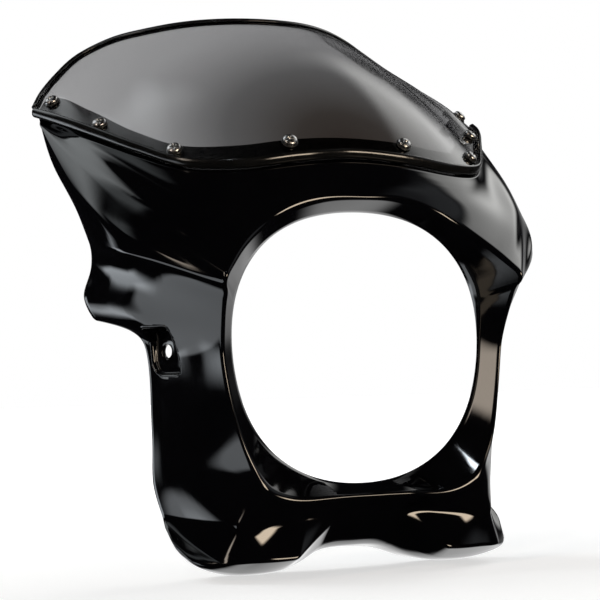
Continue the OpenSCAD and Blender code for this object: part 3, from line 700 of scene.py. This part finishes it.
def carried(name, row, side, profile, ends):
    """A closed profile [out of the edge, out of the face] carried along a row of the
    sheet's points, and drawn in past the row's two ends so that these are round."""
    path = both(sheet_half[:, row])
    out = both(sheet_out[:, row])
    heading = unit(np.gradient(path, axis=0))
    beyond = unit(np.cross(out, heading)) * side
    loops = path[:, None] + beyond[:, None] * profile[None, :, :1] + out[:, None] * profile[None, :, 1:]
    centre = profile.mean(axis=0)
    middle = path + beyond * centre[0] + out * centre[1]
    angles = np.radians([8, 25, 45, 65])
    first = [middle[0] + (loops[0] - middle[0]) * math.sin(a) - heading[0] * ends * math.cos(a)
             for a in angles]
    last = [middle[-1] + (loops[-1] - middle[-1]) * math.sin(a) + heading[-1] * ends * math.cos(a)
            for a in angles[::-1]]
    loops = np.concatenate([first, loops, last])
    columns, rows = loops.shape[:2]
    faces = [tuple(face) for face in loop_faces(columns, rows, False, True)]
    faces += [tuple(range(rows))[::-1], tuple((columns - 1) * rows + k for k in range(rows))]
    if side > 0:
        faces = [face[::-1] for face in faces]
    return mesh_object(name, loops.reshape(-1, 3), faces)


edge_profile = rounded([
    (-TRIM_LAP, FIT), (FIT, FIT), (FIT, BEHIND), (-TRIM_LAP, BEHIND),
    (-TRIM_LAP, BEHIND - TRIM_WALL), (FIT + 0.3 * TRIM_WALL, BEHIND - TRIM_WALL),
    (FIT + TRIM_WALL, BEHIND - 0.3 * TRIM_WALL), (FIT + TRIM_WALL, FIT + 0.3 * TRIM_WALL),
    (FIT + 0.3 * TRIM_WALL, FIT + TRIM_WALL), (-TRIM_LAP, FIT + TRIM_WALL)], 2)
bead_profile = rounded([
    (-BEAD_LAP, BEAD_BACK), (-BEAD_LAP, BEHIND), (FIT, BEHIND), (FIT, FIT), (-BEAD_LAP, FIT),
    (-BEAD_LAP, 0.45 * BEAD_FRONT), (-0.7 * BEAD_LAP, 0.82 * BEAD_FRONT),
    (-0.1 * BEAD_LAP, BEAD_FRONT), (0.4 * BEAD_FOOT, 0.85 * BEAD_FRONT),
    (0.8 * BEAD_FOOT, 0.4 * BEAD_FRONT), (BEAD_FOOT, -0.2 * BEAD_FRONT),
    (0.7 * BEAD_FOOT, -0.9 * SHEET), (0, BEAD_BACK)], 2)
top_trim = carried("screen_top_trim", sheet_half.shape[1] - 1, 1, edge_profile, 1.5)
bead = carried("screen_base_bead", 0, -1, bead_profile, 3.0)

rubber, tree, shader = material("trim_rubber", (0.012, 0.012, 0.012), 0.3, Specular_IOR_Level=0.5)
tree.links.new(ranged(tree, noise(tree, 300, 4), 0.12, 0.22), shader.inputs["Roughness"])
satin = tinted(tree, noise(tree, 40, 4), (0.004, 0.004, 0.004), (0.009, 0.009, 0.009))
tree.links.new(satin, shader.inputs["Base Color"])
bumped(tree, noise(tree, 900, 3), 0.03, 0.0001, shader)
for piece, node in ((top_trim, "screen_edge_trim"), (bead, "screen_base_trim")):
    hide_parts(node)
    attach(piece, "root")
    piece.data.materials.append(rubber)

# Screws
# Eight pan head screws of dark zinc plated steel with a cross recess, each driven through
# the windscreen into its nut. The thread is drawn as plain rings.
HEAD_R = 5.25
HEAD_H = 3.78
HEAD_EDGE = 1.2
SHANK_R = 2.5
THREAD_DEPTH = 0.28
THREAD_STEP = 0.4
WASHER_T = 1.0
NUT_R = 4.5
NUT_L = 9.0
TURNS = 40
BOX_FACES = [(0, 1, 5, 4), (1, 2, 6, 5), (2, 3, 7, 6), (3, 0, 4, 7), (3, 2, 1, 0), (4, 5, 6, 7)]


def loops_round(profile, seat):
    """The points of a profile [radius, height] turned round a seat's outward axis."""
    origin, x, y, out = seat
    turns = np.arange(TURNS) * 2 * np.pi / TURNS
    return [origin + x * r * math.cos(a) + y * r * math.sin(a) + out * h for r, h in profile for a in turns]


def turned(profile, seat):
    """A solid turned from a profile that starts and ends on the axis, where fans close it."""
    origin, out = seat[0], seat[3]
    tip, foot = (origin + out * profile[k][1] for k in (0, -1))
    points = [tip] + loops_round(profile[1:-1], seat) + [foot]
    end = len(points) - 1
    faces = [(0, 1 + (k + 1) % TURNS, 1 + k) for k in range(TURNS)]
    faces += [tuple(1 + face) for face in loop_faces(len(profile) - 2, TURNS, False, True)[:, ::-1]]
    faces += [(end, end - TURNS + k, end - TURNS + (k + 1) % TURNS) for k in range(TURNS)]
    return points, faces


head_low = FIT + WASHER_T
shank_l = head_low + flange + WALL + 0.7 * NUT_L
dome = [(HEAD_R * math.sin(a), head_low + HEAD_EDGE + (HEAD_H - HEAD_EDGE) * math.cos(a))
        for a in np.radians([18, 36, 54, 70, 82, 90])]
head = [(0, head_low + HEAD_H)] + dome + [(HEAD_R, head_low + 0.35), (HEAD_R - 0.35, head_low)]
thread = [(SHANK_R - THREAD_DEPTH * (k % 2), head_low - 4.5 - THREAD_STEP * k)
          for k in range(int((shank_l - 5) / THREAD_STEP))]
shank_end = head_low - shank_l
shank = [(SHANK_R, head_low)] + thread + [(2.2, shank_end + 0.3), (1.7, shank_end), (0, shank_end)]
screws = mesh_object("screen_screw_set", *joined([turned(head + shank, seat) for seat in seats]))
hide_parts("screen_screws")
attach(screws, "root")

# Each recess is two tapered boxes, crossed, and each screw stopped at a turn of its own.
recesses = []
for k, (origin, x, y, out) in enumerate(seats):
    turn = math.radians(20 + 37 * k)
    cross_x = x * math.cos(turn) + y * math.sin(turn)
    cross_y = y * math.cos(turn) - x * math.sin(turn)
    for a, b in ((2.7, 0.62), (0.62, 2.7)):
        corners = np.array([(-a, -b), (a, -b), (a, b), (-a, b)])
        points = [origin + cross_x * p[0] + cross_y * p[1] + out * (head_low + height)
                  for share, height in ((0.55, 1.5), (1.0, HEAD_H + 0.6)) for p in corners * share]
        recesses.append((points, BOX_FACES))
cut(screws, recesses[0::2], "recess_long")
cut(screws, recesses[1::2], "recess_wide")

steel, tree, shader = material("dark_zinc_steel", (0.16, 0.16, 0.165), 0.3, Metallic=1.0)
tree.links.new(ranged(tree, noise(tree, 500, 5), 0.2, 0.45), shader.inputs["Roughness"])
plating = tinted(tree, noise(tree, 250, 4), (0.3, 0.3, 0.31), (0.55, 0.54, 0.52))
tree.links.new(plating, shader.inputs["Base Color"])
bumped(tree, noise(tree, 700, 3), 0.08, 0.0002, shader)
screws.data.materials.clear()
screws.data.materials.append(steel)

# Washers
# Eight flat washers of black nylon, punched with soft edges, one under each screw's head.
WASHER_R = 6.0


def ring(profile, seat):
    """A closed profile [radius, height] turned round a seat's outward axis."""
    return loops_round(profile, seat), loop_faces(len(profile), TURNS, True, True)[:, ::-1]


washer_profile = [(WASHER_R - 0.15, FIT), (WASHER_R, FIT + 0.2), (WASHER_R, FIT + 0.6),
                  (WASHER_R - 0.1, FIT + 0.85), (WASHER_R - 0.4, FIT + WASHER_T),
                  (SCREW_HOLE_R, FIT + WASHER_T), (SCREW_HOLE_R, FIT)]
washers = mesh_object("screen_washer_set", *joined([ring(washer_profile, seat) for seat in seats]))
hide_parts("screen_washers")
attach(washers, "root")

nylon, tree, shader = material("black_nylon", (0.02, 0.02, 0.02), 0.4)
tree.links.new(ranged(tree, noise(tree, 400, 4), 0.3, 0.5), shader.inputs["Roughness"])
matt = tinted(tree, noise(tree, 120, 3), (0.012, 0.012, 0.012), (0.03, 0.03, 0.03))
tree.links.new(matt, shader.inputs["Base Color"])
washers.data.materials.append(nylon)

# Nuts
# Eight rubber well nuts. Each has a lip between the windscreen and the flange, and a
# barrel that stands behind the flange and swells a little as the screw draws it up.
NUT_BORE_R = 2.65
LIP_R = 6.0
SWELL = 0.35
lip_low = BEHIND - (SHEET_GAP - 2 * FIT)
nut_end = lip_low - FIT - WALL - NUT_L
nut_profile = [(NUT_BORE_R, BEHIND), (LIP_R - 0.3, BEHIND), (LIP_R, BEHIND - 0.3), (LIP_R, lip_low + 0.2),
               (LIP_R - 0.2, lip_low), (NUT_R, lip_low), (NUT_R, lip_low - 5), (NUT_R + SWELL, lip_low - 7),
               (NUT_R + SWELL, nut_end + 2.5), (NUT_R, nut_end + 0.5), (NUT_R - 0.5, nut_end),
               (NUT_BORE_R, nut_end)]
nuts = mesh_object("screen_nut_set", *joined([ring(nut_profile, seat) for seat in seats]))
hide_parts("screen_nuts")
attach(nuts, "root")
nuts.data.materials.append(rubber)

# Studio
# A pale floor under the fairing and white air for the camera. For every other ray the
# room is dark with soft boxes in it, which the black shell mirrors.
FLOOR_Z = -163
FLOOR_HALF = 9000
corners = [(x * FLOOR_HALF, y * FLOOR_HALF, FLOOR_Z) for x, y in ((-1, -1), (1, -1), (1, 1), (-1, 1))]
floor = mesh_object("floor", corners, [(0, 1, 2, 3)], smooth=False)
pale = bpy.data.materials.new("pale_floor")
pale.use_nodes = True
tree = pale.node_tree
tree.nodes.clear()
surface = tree.nodes.new("ShaderNodeOutputMaterial")
diffuse = tree.nodes.new("ShaderNodeBsdfDiffuse")
diffuse.inputs["Color"].default_value = (0.9, 0.9, 0.9, 1)
path = tree.nodes.new("ShaderNodeLightPath")
glow = tree.nodes.new("ShaderNodeEmission")
glow.inputs["Color"].default_value = (1, 1, 1, 1)
where = tree.nodes.new("ShaderNodeTexCoord")
reach = tree.nodes.new("ShaderNodeVectorMath")
reach.operation = "LENGTH"
far = tree.nodes.new("ShaderNodeMapRange")
far.inputs["From Min"].default_value = 0.2
far.inputs["From Max"].default_value = 1.2
far.inputs["To Min"].default_value = 0.62
far.inputs["To Max"].default_value = 1.0
seen = tree.nodes.new("ShaderNodeMath")
seen.operation = "MULTIPLY"
add = tree.nodes.new("ShaderNodeAddShader")
tree.links.new(where.outputs["Object"], reach.inputs[0])
tree.links.new(reach.outputs["Value"], far.inputs["Value"])
tree.links.new(path.outputs["Is Camera Ray"], seen.inputs[0])
tree.links.new(far.outputs["Result"], seen.inputs[1])
tree.links.new(seen.outputs["Value"], glow.inputs["Strength"])
tree.links.new(diffuse.outputs["BSDF"], add.inputs[0])
tree.links.new(glow.outputs["Emission"], add.inputs[1])
tree.links.new(add.outputs["Shader"], surface.inputs["Surface"])
floor.data.materials.append(pale)
floor.visible_glossy = False
floor.visible_transmission = False

world = bpy.data.worlds.new("studio_air")
scene.world = world
world.use_nodes = True
tree = world.node_tree
tree.nodes.clear()
surface = tree.nodes.new("ShaderNodeOutputWorld")
path = tree.nodes.new("ShaderNodeLightPath")
white = tree.nodes.new("ShaderNodeBackground")
white.inputs["Color"].default_value = (1, 1, 1, 1)
room = tree.nodes.new("ShaderNodeBackground")
mix = tree.nodes.new("ShaderNodeMixShader")


def maths(operation, a, b=None):
    """A maths node in the world's tree; a and b are numbers or sockets."""
    node = tree.nodes.new("ShaderNodeMath")
    node.operation = operation
    for k, value in enumerate((a, b)):
        if isinstance(value, (int, float)):
            node.inputs[k].default_value = value
        elif value is not None:
            tree.links.new(value, node.inputs[k])
    return node.outputs[0]


def window(angle, middle, half, edge):
    """1 within half of the middle, then easing to 0 over a soft edge, in degrees."""
    off = maths("ABSOLUTE", maths("SUBTRACT", angle, math.radians(middle)))
    node = tree.nodes.new("ShaderNodeMapRange")
    node.interpolation_type = "SMOOTHSTEP"
    node.inputs["From Min"].default_value = math.radians(max(half - edge / 2, 0))
    node.inputs["From Max"].default_value = math.radians(half + edge / 2)
    node.inputs["To Min"].default_value = 1
    node.inputs["To Max"].default_value = 0
    tree.links.new(off, node.inputs["Value"])
    return node.outputs["Result"]


# Each soft box has its azimuth in degrees (0 behind the fairing, 90 on the +X side), half
# width, soft edge, elevation, half height, soft edge, strength and colour.
BOXES = [
    (28, 22, 14, -30, 22, 14, 1.3, (1, 1, 1)),
    (40, 14, 14, 0, 10, 12, 0.35, (1, 1, 1)),
    (72, 27, 14, 37, 15, 14, 2.0, (1, 1, 0.98)),
    (118, 14, 16, 25, 20, 18, 0.3, (0.9, 0.95, 1)),
    (-41, 20, 14, 46, 20, 16, 2.1, (0.93, 0.98, 1)),
    (-74, 13, 12, 50, 8, 10, 0.7, (0.9, 0.97, 1)),
    (-51, 10, 8, -13, 12, 8, 3.6, (0.88, 0.94, 1)),
    (-73, 16, 6, -29, 12, 5, 1.9, (0.9, 0.95, 1)),
    (-109, 4, 5, 20, 17, 12, 7, (1, 0.86, 0.72)),
    (163, 14, 6, -2, 9, 5, 15, (1, 0.82, 0.62)),
    (-141, 1.6, 1.5, 47, 1.6, 1.5, 36, (0.85, 0.93, 1)),
]
DARK = (0.006, 0.006, 0.007)
direction = tree.nodes.new("ShaderNodeTexCoord")
split = tree.nodes.new("ShaderNodeSeparateXYZ")
tree.links.new(direction.outputs["Generated"], split.inputs[0])
bearing = maths("ARCTAN2", split.outputs["X"], split.outputs["Y"])
height = maths("ARCSINE", split.outputs["Z"])
total = None
for azimuth, half_w, edge_w, elevation, half_h, edge_h, strength, colour in BOXES:
    shape = maths("MULTIPLY", window(bearing, azimuth, half_w, edge_w),
                  window(height, elevation, half_h, edge_h))
    box = tree.nodes.new("ShaderNodeVectorMath")
    box.operation = "SCALE"
    box.inputs[0].default_value = colour
    tree.links.new(maths("MULTIPLY", shape, strength), box.inputs["Scale"])
    summed = tree.nodes.new("ShaderNodeVectorMath")
    summed.operation = "ADD"
    summed.inputs[1].default_value = DARK
    tree.links.new(box.outputs["Vector"], summed.inputs[0])
    if total is not None:
        tree.links.new(total, summed.inputs[1])
    total = summed.outputs["Vector"]
tree.links.new(total, room.inputs["Color"])
tree.links.new(maths("MAXIMUM", path.outputs["Is Camera Ray"], path.outputs["Is Transmission Ray"]),
               mix.inputs["Fac"])
tree.links.new(room.outputs["Background"], mix.inputs[1])
tree.links.new(white.outputs["Background"], mix.inputs[2])
tree.links.new(mix.outputs["Shader"], surface.inputs["Surface"])
